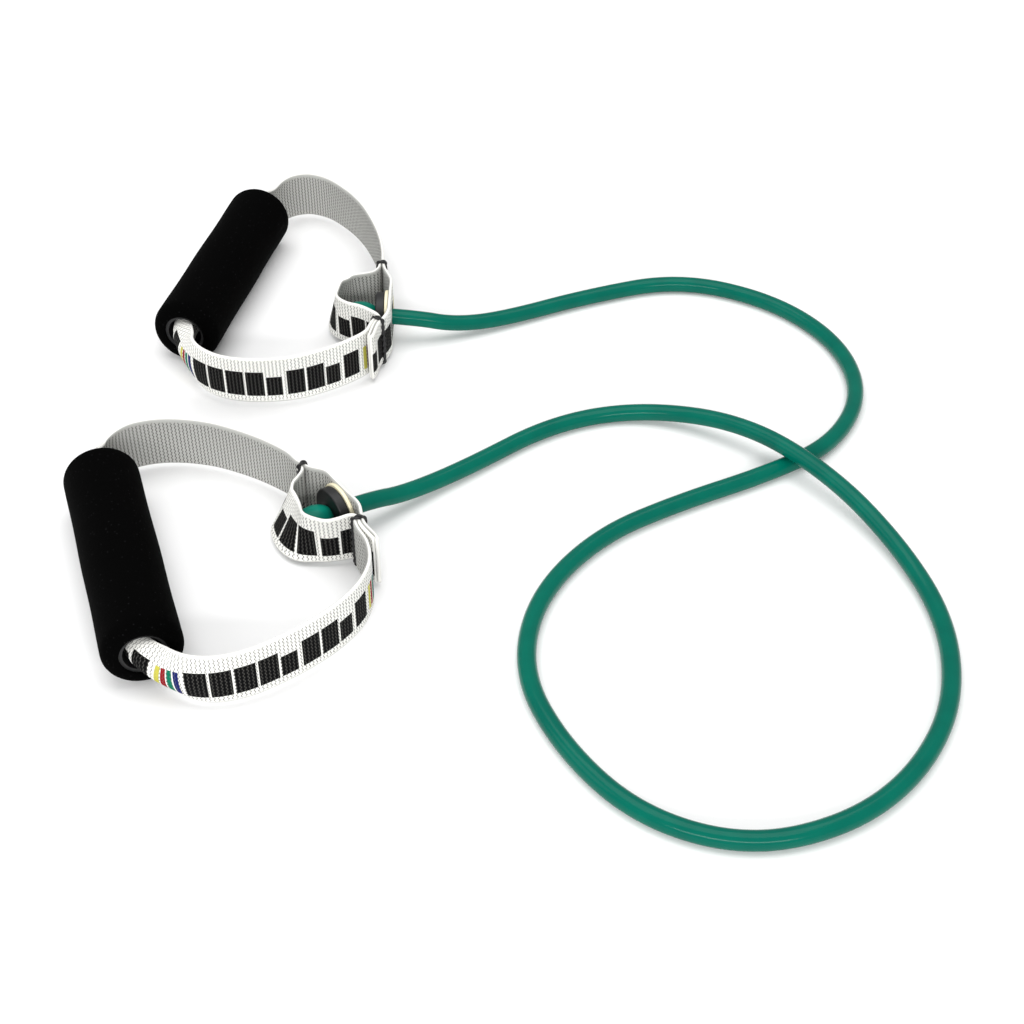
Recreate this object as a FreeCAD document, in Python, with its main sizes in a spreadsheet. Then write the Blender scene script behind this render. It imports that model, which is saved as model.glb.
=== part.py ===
"""Resistance band: a latex tube with a foam-gripped webbing handle at each end.

Frame: millimetres, +Z up, Z = 0 is the surface that the band lies on.  The origin is the middle of the
rectangle that the two handles cover, and the grips lie roughly along Y on its -X side.
"""

import FreeCAD, Part
import math
import os

import Sketcher
from FreeCAD import Placement, Rotation, Vector

# ---------------------------------------------------------------- driving dimensions
SIZES = {
    # handle grip: a foam sleeve pushed over a rigid tube
    "grip_length": 119.0,
    "grip_outer_dia": 33.0,
    "grip_corner": 5.0,
    "core_outer_dia": 19.6,
    "core_wall": 1.5,
    "core_recess": 1.0,
    # webbing
    "webbing_width": 25.0,
    "webbing_thickness": 1.6,
    "webbing_lift": 2.5,
    "layer_gap": 0.05,
    "bore_clearance": 0.4,
    "fan_length": 14.0,
    "flap_length": 13.0,
    "seam_half": 4.8,
    "seam_tail": 1.1,
    "eye_margin": 2.2,
    # latex tube and its swollen ends
    "tube_outer_dia": 7.9,
    "tube_bore": 4.75,
    "rest_gap": 0.05,
    "bulb_dia": 13.8,
    "bulb_neck": 0.7,
    "bulb_mouth_dia": 9.4,
    "bulb_wall": 1.2,
    "ball_gap": 0.05,
    # washers between the swollen end and the webbing
    "washer_outer_dia": 23.0,
    "washer_thickness": 4.5,
    "washer_round": 0.8,
    "backing_margin": 0.8,
    "backing_thickness": 1.6,
    "backing_round": 0.4,
    "tube_running_gap": 0.08,
    "eye_gap": 0.35,
    "seat_gap": 0.1,
    # sewing
    "thread_thickness": 0.6,
    "thread_width": 1.4,
    "thread_gap": 0.05,
}

# ---------------------------------------------------------------- how the band lies
# x runs from the grip towards the tube and y along the grip, both from the grip's middle.  In the two runs
# a corner is instead (x, distance beyond the grip's end), so that the loop follows the grip's length.  A
# heading is in degrees from x, towards y.
HANDLES = {
    "near": {
        "place": (-37.5, -117.0, 18.4),
        "eye": (96.0, 4.4, 17.4),
        "first_seam": (83.8, 24.6, -55.0),
        "second_seam": (97.3, -18.4, -95.0),
        "flap_heading": -72.0,
        "front_run": [(97.0, -15.5), (83.0, 4.5), (57.0, 17.5), (29.0, 24.0), (8.0, 18.5)],
        "back_run": [(6.0, 16.5), (21.0, 21.5), (45.0, 13.5), (67.0, -7.5)],
        "pocket": [(86.0, -13.5), (74.5, -9.0), (67.0, 1.0), (67.0, 13.0), (73.5, 22.0)],
    },
    "far": {
        "place": (-22.8, 105.8, -12.0),
        "eye": (93.4, -19.8, 12.2),
        "first_seam": (82.6, 7.5, -68.0),
        "second_seam": (93.3, -42.1, -105.0),
        "flap_heading": -88.0,
        "front_run": [(88.0, -1.5), (71.0, 17.5), (46.0, 28.0), (20.0, 28.5), (3.0, 16.5)],
        "back_run": [(3.0, 20.5), (16.0, 30.5), (36.0, 23.5), (58.0, 1.5), (75.0, -27.5)],
        "pocket": [(84.0, -38.0), (71.5, -33.0), (63.5, -22.0), (65.0, -9.0), (76.0, -2.0)],
    },
}

# The tube's route between its two ends: x, y and the height of its centreline above its resting height.
# It crosses over itself once, on a long low hump, and the hump's height is worked out from the tube.
HUMP = "hump"
TUBE_ROUTE = [
    (77.0, -63.0, 3.0),
    (103.0, -42.0, 0.3),
    (144.0, -7.0, 0.0),
    (187.0, 4.0, 0.0),
    (232.0, -18.0, HUMP),
    (266.0, -56.0, HUMP),
    (290.0, -96.0, 2.0),
    (302.0, -140.0, 0.0),
    (297.0, -185.0, 0.0),
    (277.0, -222.0, 0.0),
    (248.0, -247.0, 0.0),
    (209.0, -258.0, 0.0),
    (171.0, -244.0, 0.0),
    (144.0, -211.0, 0.0),
    (128.0, -170.0, 0.0),
    (135.0, -126.0, 0.0),
    (162.0, -88.0, 0.0),
    (199.0, -65.0, 0.0),
    (238.0, -46.0, 0.0),
    (273.0, -23.0, 0.0),
    (292.0, 17.0, 0.0),
    (286.0, 61.0, 0.0),
    (257.0, 98.0, 0.0),
    (211.0, 117.0, 0.0),
    (163.0, 101.0, 0.0),
    (120.0, 79.5, 0.5),
    (96.0, 70.0, 3.5),
]
FIRST_RUN = 19.0
ARC_SHARE = 0.45
SEAM_BEND = 2.0
EYE_BEND = 3.0
UP = Vector(0, 0, 1)

document = FreeCAD.newDocument("resistance_band")


# ---------------------------------------------------------------- sheet
def make_sheet(sizes):
    """Put every driving dimension in the document's spreadsheet, under its own alias."""
    table = document.addObject("Spreadsheet::Sheet", "Sizes")
    for row, (alias, value) in enumerate(sizes.items(), start=1):
        table.set(f"A{row}", alias)
        table.set(f"B{row}", str(value))
        table.setAlias(f"B{row}", alias)
    document.recompute()
    return table


sheet = make_sheet(SIZES)


def size(alias):
    """The value of one driving dimension."""
    return float(sheet.get(alias))


def bind(thing, **expressions):
    """Bind properties to the sheet: every word of an expression that is an alias is read from it."""
    for name, expression in expressions.items():
        words = [f"<<Sizes>>.{word}" if word in SIZES else word for word in expression.split()]
        thing.setExpression(name, " ".join(words))


# ---------------------------------------------------------------- levels and directions
def heading(degrees):
    """The level unit vector at an angle from +X, counter-clockwise seen from above."""
    return Vector(math.cos(math.radians(degrees)), math.sin(math.radians(degrees)), 0)


def left_of(direction):
    """The level direction a quarter turn to the left of another."""
    return Vector(-direction.y, direction.x, 0)


def webbing_mid():
    """Height of the middle of the webbing where it stands on edge, and of the tube where it leaves it."""
    return size("webbing_lift") + size("webbing_width") / 2


def grip_mid():
    """Height of the grip's axis: the grip lies on the surface."""
    return size("grip_outer_dia") / 2


def tube_rest():
    """Height of the tube's centreline where it lies on the surface."""
    return size("tube_outer_dia") / 2 + size("rest_gap")


def seat_depth():
    """From the middle of the webbing at the eye, back to the face where the tube starts to swell."""
    return (
        size("webbing_thickness") / 2
        + size("seat_gap")
        + size("backing_thickness")
        + size("washer_thickness")
        + size("seat_gap")
    )


def handle_placement(handle):
    """Placement that takes the handle's own level frame to the band's."""
    x, y, angle = handle["place"]
    return Placement(Vector(x, y, 0), Rotation(UP, angle))


def core_bore():
    """Bore of the rigid tube inside the grip."""
    return size("core_outer_dia") - 2 * size("core_wall")


def bulb_length():
    """Length of the tube's swollen end."""
    return size("bulb_dia") + size("bulb_neck")


def eye_flat():
    """Width of the flat of webbing that the washers press on."""
    return size("washer_outer_dia") + 2 * size("backing_margin") + 2 * size("eye_margin")


def eye_frame(handle):
    """The point on the tube's axis at the middle of the webbing, and the way in which the tube leaves."""
    x, y, angle = handle["eye"]
    placement = handle_placement(handle)
    point = placement.multVec(Vector(x, y, webbing_mid()))
    return point, placement.Rotation.multVec(heading(angle))


def along(point, direction):
    """Placement that puts a piece's own Z axis on a line through a point."""
    return Placement(point, Rotation(UP, direction))


# ---------------------------------------------------------------- routes of runs and arcs
def bend(before, corner, after, radius=None):
    """The tangent arc at one corner: start, middle, end, centre and radius."""
    back = before - corner
    ahead = after - corner
    shorter = min(back.Length, ahead.Length)
    back.normalize()
    ahead.normalize()
    half_turn = (math.pi - back.getAngle(ahead)) / 2
    reach = ARC_SHARE * shorter
    if radius is not None:
        reach = min(reach, radius * math.tan(half_turn))
    radius = reach / math.tan(half_turn)
    inward = back + ahead
    inward.normalize()
    centre = corner + inward * (radius / math.cos(half_turn))
    middle = centre - inward * radius
    return corner + back * reach, middle, corner + ahead * reach, centre, radius


def rounded(points, radii=None):
    """Straight runs joined by tangent arcs, as a list of (kind, points, centre, radius)."""
    radii = radii or [None] * len(points)
    pieces = []
    start = points[0]
    for i in range(1, len(points) - 1):
        first, middle, last, centre, radius = bend(points[i - 1], points[i], points[i + 1], radii[i])
        pieces.append(("run", (start, first), None, None))
        pieces.append(("arc", (first, middle, last), centre, radius))
        start = last
    pieces.append(("run", (start, points[-1]), None, None))
    return pieces


def edge_of(kind, points):
    """The edge of one piece of a route."""
    if kind == "run":
        return Part.LineSegment(*points).toShape()
    return Part.Arc(*points).toShape()


def beside(piece, offset):
    """One piece of a level route, moved to its left by an offset."""
    kind, points, centre, radius = piece
    if kind == "run":
        shift = left_of((points[1] - points[0]).normalize()) * offset
        return kind, tuple(point + shift for point in points)
    turns_left = (points[1] - points[0]).cross(points[2] - points[1]).z > 0
    new_radius = radius - offset if turns_left else radius + offset
    return kind, tuple(centre + (point - centre) * (new_radius / radius) for point in points)


def ribbon(corners, low, high):
    """A strip standing on edge along a level route, one webbing thick, from one height to another.

    A corner is its point and its bend radius.
    """
    half = size("webbing_thickness") / 2
    points = [Vector(point.x, point.y, low) for point, radius in corners]
    pieces = rounded(points, [radius for point, radius in corners])
    left = [beside(piece, half) for piece in pieces]
    right = [beside(piece, -half) for piece in pieces]
    edges = [edge_of(*piece) for piece in left + right]
    edges.append(edge_of("run", (left[0][1][0], right[0][1][0])))
    edges.append(edge_of("run", (left[-1][1][-1], right[-1][1][-1])))
    outline = Part.Wire(Part.__sortEdges__(edges))
    return Part.Face(outline).extrude(Vector(0, 0, high - low))


# ---------------------------------------------------------------- document objects
def add(kind, label):
    """A new document object under its own label."""
    made = document.addObject(kind, label)
    made.Label = label
    return made


def solid_feature(label, shape, placement):
    """A Part::Feature holding one worked-out solid, placed after its shape is set."""
    feature = add("Part::Feature", label)
    feature.Shape = shape
    feature.Placement = placement
    return feature


def origin_plane(body, role):
    """One of a body's own base planes."""
    return next(item for item in body.Origin.OriginFeatures if item.Role == role)


def circle_on(sketch, dia, alias_expression):
    """Draw a circle at the sketch's origin and bind its diameter."""
    index = sketch.addGeometry(Part.Circle(Vector(0, 0, 0), Vector(0, 0, 1), dia / 2), False)
    sketch.addConstraint(Sketcher.Constraint("Coincident", index, 3, -1, 1))
    held = sketch.addConstraint(Sketcher.Constraint("Diameter", index, dia))
    bind(sketch, **{f"Constraints[{held}]": alias_expression})


def collar(label, outer, inner, length, rounding=None):
    """A ring or sleeve along its own Z axis: a padded pair of circles, its outer rims rounded."""
    body = add("PartDesign::Body", label)
    sketch = body.newObject("Sketcher::SketchObject", f"{label}_section")
    sketch.AttachmentSupport = (origin_plane(body, "XY_Plane"), [""])
    sketch.MapMode = "FlatFace"
    circle_on(sketch, evaluate(outer), outer)
    circle_on(sketch, evaluate(inner), inner)
    pad = body.newObject("PartDesign::Pad", f"{label}_pad")
    pad.Profile = sketch
    bind(pad, Length=length)
    document.recompute()
    if rounding:
        rims = [
            f"Edge{number}"
            for number, edge in enumerate(pad.Shape.Edges, start=1)
            if hasattr(edge.Curve, "Radius")
            and math.isclose(edge.Curve.Radius, evaluate(outer) / 2, rel_tol=1e-6)
        ]
        fillet = body.newObject("PartDesign::Fillet", f"{label}_rounding")
        fillet.Base = (pad, rims)
        bind(fillet, Radius=rounding)
    sketch.Visibility = False
    document.recompute()
    return body


def evaluate(expression):
    """The value of a sum or product of sheet sizes and numbers, worked from left to right."""
    words = expression.split()
    value = size(words[0]) if words[0] in SIZES else float(words[0])
    for operator, word in zip(words[1::2], words[2::2]):
        term = size(word) if word in SIZES else float(word)
        value = {"+": value + term, "-": value - term, "*": value * term}[operator]
    return value


# ---------------------------------------------------------------- grip
def make_grip(name, handle):
    """The foam sleeve and the rigid core tube inside it, both centred on the grip's axis."""
    placement = handle_placement(handle)
    axis = placement.Rotation.multVec(Vector(0, 1, 0))
    centre = placement.multVec(Vector(0, 0, grip_mid()))
    foam = collar(f"{name}_foam_grip", "grip_outer_dia", "core_outer_dia", "grip_length", "grip_corner")
    foam.Placement = along(centre - axis * (size("grip_length") / 2), axis)
    core_length = size("grip_length") - 2 * size("core_recess")
    bore = "core_outer_dia - core_wall - core_wall"
    core = collar(f"{name}_grip_core", "core_outer_dia", bore, "grip_length - 2 * core_recess")
    core.Placement = along(centre - axis * (core_length / 2), axis)
    return [foam, core]


# ---------------------------------------------------------------- webbing
def layer_pitch():
    """Distance between the middles of two layers of webbing sewn together."""
    return size("webbing_thickness") + size("layer_gap")


def seam_point(seam, layer, reach):
    """A point on one layer's line through a seam, at a distance past the stitching."""
    x, y, angle = seam
    direction = heading(angle)
    return Vector(x, y, 0) + left_of(direction) * (layer * layer_pitch()) + direction * reach


def flap_corners(handle, layer):
    """The corners of one layer of the flap beyond the second seam: where it bends outwards, and its tip."""
    seam = handle["second_seam"]
    before = left_of(heading(seam[2]))
    direction = heading(handle["flap_heading"])
    after = left_of(direction)
    middle = seam_point(seam, 0, size("seam_half"))
    mitre = (before + after) * (layer * layer_pitch() / (1 + before.dot(after)))
    tip = middle + after * (layer * layer_pitch()) + direction * size("flap_length")
    return [(middle + mitre, SEAM_BEND + (1 - layer) * layer_pitch()), (tip, None)]


def passage_cut(side):
    """The wedge that narrows the webbing above (side 1) or below (side -1) where it passes the core."""
    middle = webbing_mid()
    reach = size("grip_length") / 2 + size("core_recess")
    half_bore = core_bore() / 2 - size("bore_clearance")
    chord = math.sqrt(half_bore**2 - (size("webbing_thickness") / 2) ** 2)
    edge = middle + side * size("webbing_width") / 2
    level = min(grip_mid() + side * chord, edge, key=lambda height: side * height)
    outside = edge + side * size("webbing_width")
    width = core_bore() * 2
    corners = [
        (-reach - size("fan_length"), edge),
        (-reach, level),
        (reach, level),
        (reach + size("fan_length"), edge),
        (reach + size("fan_length"), outside),
        (-reach - size("fan_length"), outside),
    ]
    points = [Vector(-width / 2, y, z) for y, z in corners]
    face = Part.Face(Part.makePolygon(points + points[:1]))
    return face.extrude(Vector(width, 0, 0))


def make_strap(name, handle):
    """The webbing loop: through the grip, round to both seams, and across the eye that the tube leaves by."""
    eye_x, eye_y, angle = handle["eye"]
    eye = Vector(eye_x, eye_y, 0)
    aside = left_of(heading(angle)) * (eye_flat() / 2)
    mouth = size("grip_length") / 2 + size("grip_corner") / 2
    first, second, half = handle["first_seam"], handle["second_seam"], size("seam_half")
    corners = [(seam_point(second, -1, -size("seam_tail")), None), (seam_point(second, -1, half), SEAM_BEND)]
    end = size("grip_length") / 2
    corners += [(Vector(x, -end - beyond, 0), None) for x, beyond in handle["front_run"]]
    corners += [(Vector(0, -mouth, 0), None), (Vector(0, mouth, 0), None)]
    corners += [(Vector(x, end + beyond, 0), None) for x, beyond in handle["back_run"]]
    corners += [(seam_point(first, 0, -half), SEAM_BEND), (seam_point(first, 0, half), SEAM_BEND)]
    corners += [(eye + aside, EYE_BEND), (eye - aside, EYE_BEND)]
    corners += [(seam_point(second, 1, -half), SEAM_BEND), *flap_corners(handle, 1)]
    low = size("webbing_lift")
    strap = ribbon(corners, low, low + size("webbing_width"))
    hole_radius = size("tube_outer_dia") / 2 + size("eye_gap")
    depth = size("webbing_thickness")
    start = Vector(eye_x, eye_y, webbing_mid()) - heading(angle) * depth
    hole = Part.makeCylinder(hole_radius, 2 * depth, start, heading(angle))
    shape = strap.cut([passage_cut(1), passage_cut(-1), hole])
    return solid_feature(f"{name}_strap_loop", shape.Solids[0], handle_placement(handle))


def make_pocket(name, handle):
    """The strip that closes the pocket: from the flap, through the second seam, to just past the first."""
    first, second, half = handle["first_seam"], handle["second_seam"], size("seam_half")
    corners = [*reversed(flap_corners(handle, 0)), (seam_point(second, 0, -half), SEAM_BEND)]
    corners += [(Vector(*corner, 0), None) for corner in handle["pocket"]]
    corners += [(seam_point(first, -1, half), SEAM_BEND), (seam_point(first, -1, -half), None)]
    low = size("webbing_lift")
    shape = ribbon(corners, low, low + size("webbing_width"))
    return solid_feature(f"{name}_pocket_strip", shape, handle_placement(handle))


def make_seam(label, handle, seam, layers):
    """A row of thread round a stack of webbing layers; layers are their numbers, counted to the left."""
    stack = " + ".join(["webbing_thickness"] * len(layers) + ["layer_gap"] * (len(layers) - 1))
    gaps = " + thread_gap + thread_gap"
    walls = " + thread_thickness + thread_thickness"
    middle = layer_pitch() * sum(layers) / len(layers)
    boxes = []
    lengths = {"outside": ("thread_width", gaps + walls), "inside": ("thread_width * 2", gaps)}
    for side, (length, extra) in lengths.items():
        box = add("Part::Box", f"{label}_{side}")
        bind(box, Length=length, Width=stack + extra, Height="webbing_width" + extra)
        document.recompute()
        length, width, height = (float(value) for value in (box.Length, box.Width, box.Height))
        corner = Vector(-length / 2, middle - width / 2, webbing_mid() - height / 2)
        box.Placement = Placement(corner, Rotation())
        boxes.append(box)
    thread = add("Part::Cut", label)
    thread.Base, thread.Tool = boxes
    x, y, angle = seam
    thread.Placement = handle_placement(handle).multiply(Placement(Vector(x, y, 0), Rotation(UP, angle)))
    return thread


# ---------------------------------------------------------------- tube end, ball and washers
def make_tube_end(name, handle):
    """The swollen end of the tube, stretched over the ball, along the axis of the eye."""
    eye, out = eye_frame(handle)
    seat = eye - out * seat_depth()
    middle = bulb_length() / 2
    length = "( bulb_dia + bulb_neck )"
    label = f"{name}_tube_end"
    bulge = add("Part::Sphere", f"{label}_bulge")
    bind(bulge, Radius="bulb_dia / 2")
    bulge.Placement = Placement(Vector(0, 0, middle), Rotation())
    neck = add("Part::Cone", f"{label}_neck")
    bind(neck, Radius1="tube_outer_dia / 2", Radius2="bulb_mouth_dia / 2 + bulb_wall", Height=f"{length} / 3")
    mouth = add("Part::Cylinder", f"{label}_mouth")
    bind(mouth, Radius="bulb_mouth_dia / 2", Height=f"{length} / 2")
    mouth.Placement = Placement(Vector(0, 0, middle), Rotation())
    outside = add("Part::MultiFuse", f"{label}_outside")
    outside.Shapes = [bulge, neck, mouth]
    room = add("Part::Sphere", f"{label}_room")
    bind(room, Radius="bulb_dia / 2 - bulb_wall")
    room.Placement = Placement(Vector(0, 0, middle), Rotation())
    bore = add("Part::Cylinder", f"{label}_bore")
    bind(bore, Radius="tube_bore / 2", Height=length)
    hollow = add("Part::MultiFuse", f"{label}_hollow")
    hollow.Shapes = [room, bore]
    end = add("Part::Cut", label)
    end.Base = outside
    end.Tool = hollow
    end.Placement = along(seat, -out)
    ball = add("Part::Sphere", f"{name}_ball_plug")
    bind(ball, Radius="bulb_dia / 2 - bulb_wall - ball_gap")
    ball.Placement = Placement(seat - out * middle, Rotation())
    return [end, ball]


def make_washers(name, handle):
    """The thick washer that the swollen end pulls against, and the thin one that backs the webbing."""
    eye, out = eye_frame(handle)
    bore = "tube_outer_dia + tube_running_gap + tube_running_gap"
    washer = collar(f"{name}_washer", "washer_outer_dia", bore, "washer_thickness", "washer_round")
    washer.Placement = along(eye - out * (seat_depth() - size("seat_gap")), out)
    backing_dia = "washer_outer_dia + backing_margin + backing_margin"
    backing = collar(f"{name}_backing_washer", backing_dia, bore, "backing_thickness", "backing_round")
    inner_face = size("webbing_thickness") / 2 + size("seat_gap") + size("backing_thickness")
    backing.Placement = along(eye - out * inner_face, out)
    return [washer, backing]


# ---------------------------------------------------------------- tube
def tube_points():
    """The tube's route from one handle's seat to the other's, straight through each stack of washers."""
    near_eye, near_out = eye_frame(HANDLES["near"])
    far_eye, far_out = eye_frame(HANDLES["far"])
    hump = 2 * size("tube_outer_dia")
    middle = [
        Vector(x, y, tube_rest() + (hump if lift == HUMP else lift)) for x, y, lift in TUBE_ROUTE
    ]
    near_seat = near_eye - near_out * seat_depth()
    far_seat = far_eye - far_out * seat_depth()
    return [near_seat, near_seat + near_out * FIRST_RUN, *middle, far_seat + far_out * FIRST_RUN, far_seat]


def make_tube():
    """The hollow latex tube: a ring carried along straight runs and tangent arcs."""
    points = tube_points()
    pieces = rounded(points)
    route = Part.Wire([edge_of(kind, ends) for kind, ends, centre, radius in pieces])
    spine = add("Part::Feature", "tube_route")
    spine.Shape = route
    sweeps = []
    for part_name, dia in (("skin", "tube_outer_dia"), ("bore", "tube_bore")):
        ring = add("Part::Circle", f"tube_{part_name}_ring")
        bind(ring, Radius=f"{dia} / 2")
        ring.Placement = along(points[0], points[1] - points[0])
        sweep = add("Part::Sweep", f"tube_{part_name}")
        sweep.Sections = [ring]
        sweep.Spine = (spine, [f"Edge{number + 1}" for number in range(len(route.Edges))])
        sweep.Solid = True
        sweep.Frenet = False
        sweeps.append(sweep)
    tube = add("Part::Cut", "resistance_tube")
    tube.Base, tube.Tool = sweeps
    document.recompute()
    radii = [radius for kind, ends, centre, radius in pieces if kind == "arc"]
    section = math.pi * (size("tube_outer_dia") ** 2 - size("tube_bore") ** 2) / 4
    runs = [(b - a).Length for a, b in zip(points, points[1:])]
    print("tube length", round(route.Length, 1), "runs", [round(run, 1) for run in runs])
    print("tube radii", [round(radius, 1) for radius in radii], "smallest", round(min(radii), 1))
    print("tube volume over section times length", round(tube.Shape.Volume / (section * route.Length), 4))
    return tube


# ---------------------------------------------------------------- build, check and export
def build():
    """Make every sub-part of the band."""
    parts = [make_tube()]
    for name, handle in HANDLES.items():
        parts += make_grip(name, handle)
        parts.append(make_strap(name, handle))
        parts.append(make_pocket(name, handle))
        parts.append(make_seam(f"{name}_first_seam", handle, handle["first_seam"], [-1, 0]))
        parts.append(make_seam(f"{name}_second_seam", handle, handle["second_seam"], [-1, 0, 1]))
        parts += make_tube_end(name, handle)
        parts += make_washers(name, handle)
    document.recompute()
    return parts


def check(parts):
    """Stop if any object failed to compute or any sub-part isn't one sound solid."""
    for item in document.Objects:
        if {"Invalid", "Error"} & set(item.State):
            raise RuntimeError(f"{item.Label} failed: {item.State}")
    for part in parts:
        shape = part.Shape
        if shape.isNull() or not shape.isValid() or len(shape.Solids) != 1:
            raise RuntimeError(f"{part.Label} isn't one sound solid")


def export(parts):
    """Write each sub-part to its own STEP file, named after its node."""
    os.makedirs("parts", exist_ok=True)
    for part in parts:
        part.Shape.exportStep(f"parts/{part.Label}.step")
    print(len(parts), "sub-parts written")


band = build()
check(band)
export(band)
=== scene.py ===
"""Resistance band: a latex tube with a foam-gripped webbing handle swivelling on each of its swollen ends.

Lengths in this file are millimetres unless a name says otherwise; meshes are made in metres, in the frame of
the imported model, with +Z up and the surface that the band lies on at Z = 0.
"""

import logging
import math
from dataclasses import dataclass, field
from enum import Enum

import bpy
import numpy as np
from mathutils import Euler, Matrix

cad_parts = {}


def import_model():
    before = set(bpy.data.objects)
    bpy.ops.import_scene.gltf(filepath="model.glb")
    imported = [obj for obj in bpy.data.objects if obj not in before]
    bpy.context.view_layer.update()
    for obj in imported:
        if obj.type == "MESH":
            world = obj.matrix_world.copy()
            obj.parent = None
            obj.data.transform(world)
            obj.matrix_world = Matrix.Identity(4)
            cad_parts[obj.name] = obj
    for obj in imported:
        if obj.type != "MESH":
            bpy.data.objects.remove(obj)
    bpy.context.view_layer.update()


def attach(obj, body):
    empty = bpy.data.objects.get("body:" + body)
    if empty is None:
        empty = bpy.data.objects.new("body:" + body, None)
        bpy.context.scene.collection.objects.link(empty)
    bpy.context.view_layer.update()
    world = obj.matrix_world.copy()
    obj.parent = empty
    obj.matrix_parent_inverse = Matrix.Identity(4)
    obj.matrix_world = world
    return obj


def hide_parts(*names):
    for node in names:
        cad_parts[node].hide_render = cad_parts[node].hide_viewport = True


MM = 0.001
Row = tuple[float, ...]
LOG = logging.getLogger("resistance_band")

# The tube's route between its ends: x, y and the height of its centreline above its resting height.  The two
# raised points carry it over itself in one long low hump.
HUMP = 8.3
TUBE_ROUTE: list[Row] = [
    (77, -63, 3), (103, -42, 0.3), (144, -7, 0), (187, 4, 0), (232, -18, HUMP), (266, -56, HUMP),
    (290, -96, 2), (302, -140, 0), (297, -185, 0), (277, -222, 0), (248, -247, 0), (209, -258, 0),
    (171, -244, 0), (144, -211, 0), (128, -170, 0), (135, -126, 0), (162, -88, 0), (199, -65, 0),
    (238, -46, 0), (273, -23, 0), (292, 17, 0), (286, 61, 0), (257, 98, 0), (211, 117, 0), (163, 101, 0),
    (120, 79.5, 0.5), (96, 70, 3.5),
]


class Side(Enum):
    """Which of the two handles a piece belongs to."""

    NEAR = "near"
    FAR = "far"


# ---------------------------------------------------------------- colour and shader nodes
def linear(hex_colour: str) -> tuple[float, float, float, float]:
    """Turn an sRGB hex colour into linear light.

    Args:
        hex_colour: Six hex digits, with or without a leading #.

    Returns:
        Linear red, green, blue and an alpha of one.
    """
    digits = hex_colour.lstrip("#")
    values = [int(digits[i : i + 2], 16) / 255 for i in (0, 2, 4)]
    red, green, blue = (v / 12.92 if v <= 0.04045 else ((v + 0.055) / 1.055) ** 2.4 for v in values)
    return red, green, blue, 1.0


def put(tree: bpy.types.NodeTree, kind: str, inputs: dict | None = None,
        **settings: object) -> bpy.types.Node:
    """Add one node with its settings, its values and its links.

    Args:
        tree: Node tree that gets the node.
        kind: Blender's name for the node type.
        inputs: Value, or output socket to link, for each input by name or number.
        settings: Properties of the node itself.

    Returns:
        The new node.
    """
    node = tree.nodes.new(kind)
    for name, value in settings.items():
        setattr(node, name, value)
    for key, value in (inputs or {}).items():
        if isinstance(value, bpy.types.NodeSocket):
            tree.links.new(value, node.inputs[key])
        else:
            node.inputs[key].default_value = value
    return node


def fresh_material(name: str) -> tuple[bpy.types.Material, bpy.types.NodeTree]:
    """Make an empty node material.

    Args:
        name: Name of the material.

    Returns:
        The material and its node tree.
    """
    material = bpy.data.materials.new(name)
    material.use_nodes = True
    material.node_tree.nodes.clear()
    return material, material.node_tree


def close_material(tree: bpy.types.NodeTree, inputs: dict) -> None:
    """Finish a material with one Principled shader.

    Args:
        tree: Node tree of the material.
        inputs: Values and sockets for the shader's inputs.
    """
    shader = put(tree, "ShaderNodeBsdfPrincipled", inputs)
    put(tree, "ShaderNodeOutputMaterial", {"Surface": shader.outputs["BSDF"]})


@dataclass(frozen=True)
class Latex:
    """Dipped natural latex: a smooth, wet-looking skin with faint lengthwise clouds of colour."""

    name: str
    deep: str
    pale: str
    roughness: float = 0.17
    gloss: float = 0.1
    cloud_mm: float = 14.0

    def make(self) -> bpy.types.Material:
        """Build the material: cloudy colour, a soft skin ripple and a clear gloss."""
        material, tree = fresh_material(self.name)
        place = put(tree, "ShaderNodeTexCoord")
        clouds = put(
            tree, "ShaderNodeTexNoise", {"Vector": place.outputs["Object"], "Scale": 1000 / self.cloud_mm}
        )
        mixed = put(
            tree, "ShaderNodeMix", {0: clouds.outputs[0], 6: linear(self.deep), 7: linear(self.pale)},
            data_type="RGBA",
        )
        # A ripple about 3 mm long and less than a tenth of a millimetre deep breaks the highlight slightly.
        ripple = put(tree, "ShaderNodeTexNoise", {"Vector": place.outputs["Object"], "Scale": 330.0})
        bump = put(
            tree, "ShaderNodeBump", {"Height": ripple.outputs[0], "Strength": 0.25, "Distance": 0.0001}
        )
        close_material(tree, {
            "Base Color": mixed.outputs[2], "Roughness": self.roughness, "IOR": 1.52,
            "Specular IOR Level": self.gloss, "Normal": bump.outputs[0],
        })
        return material


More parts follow.
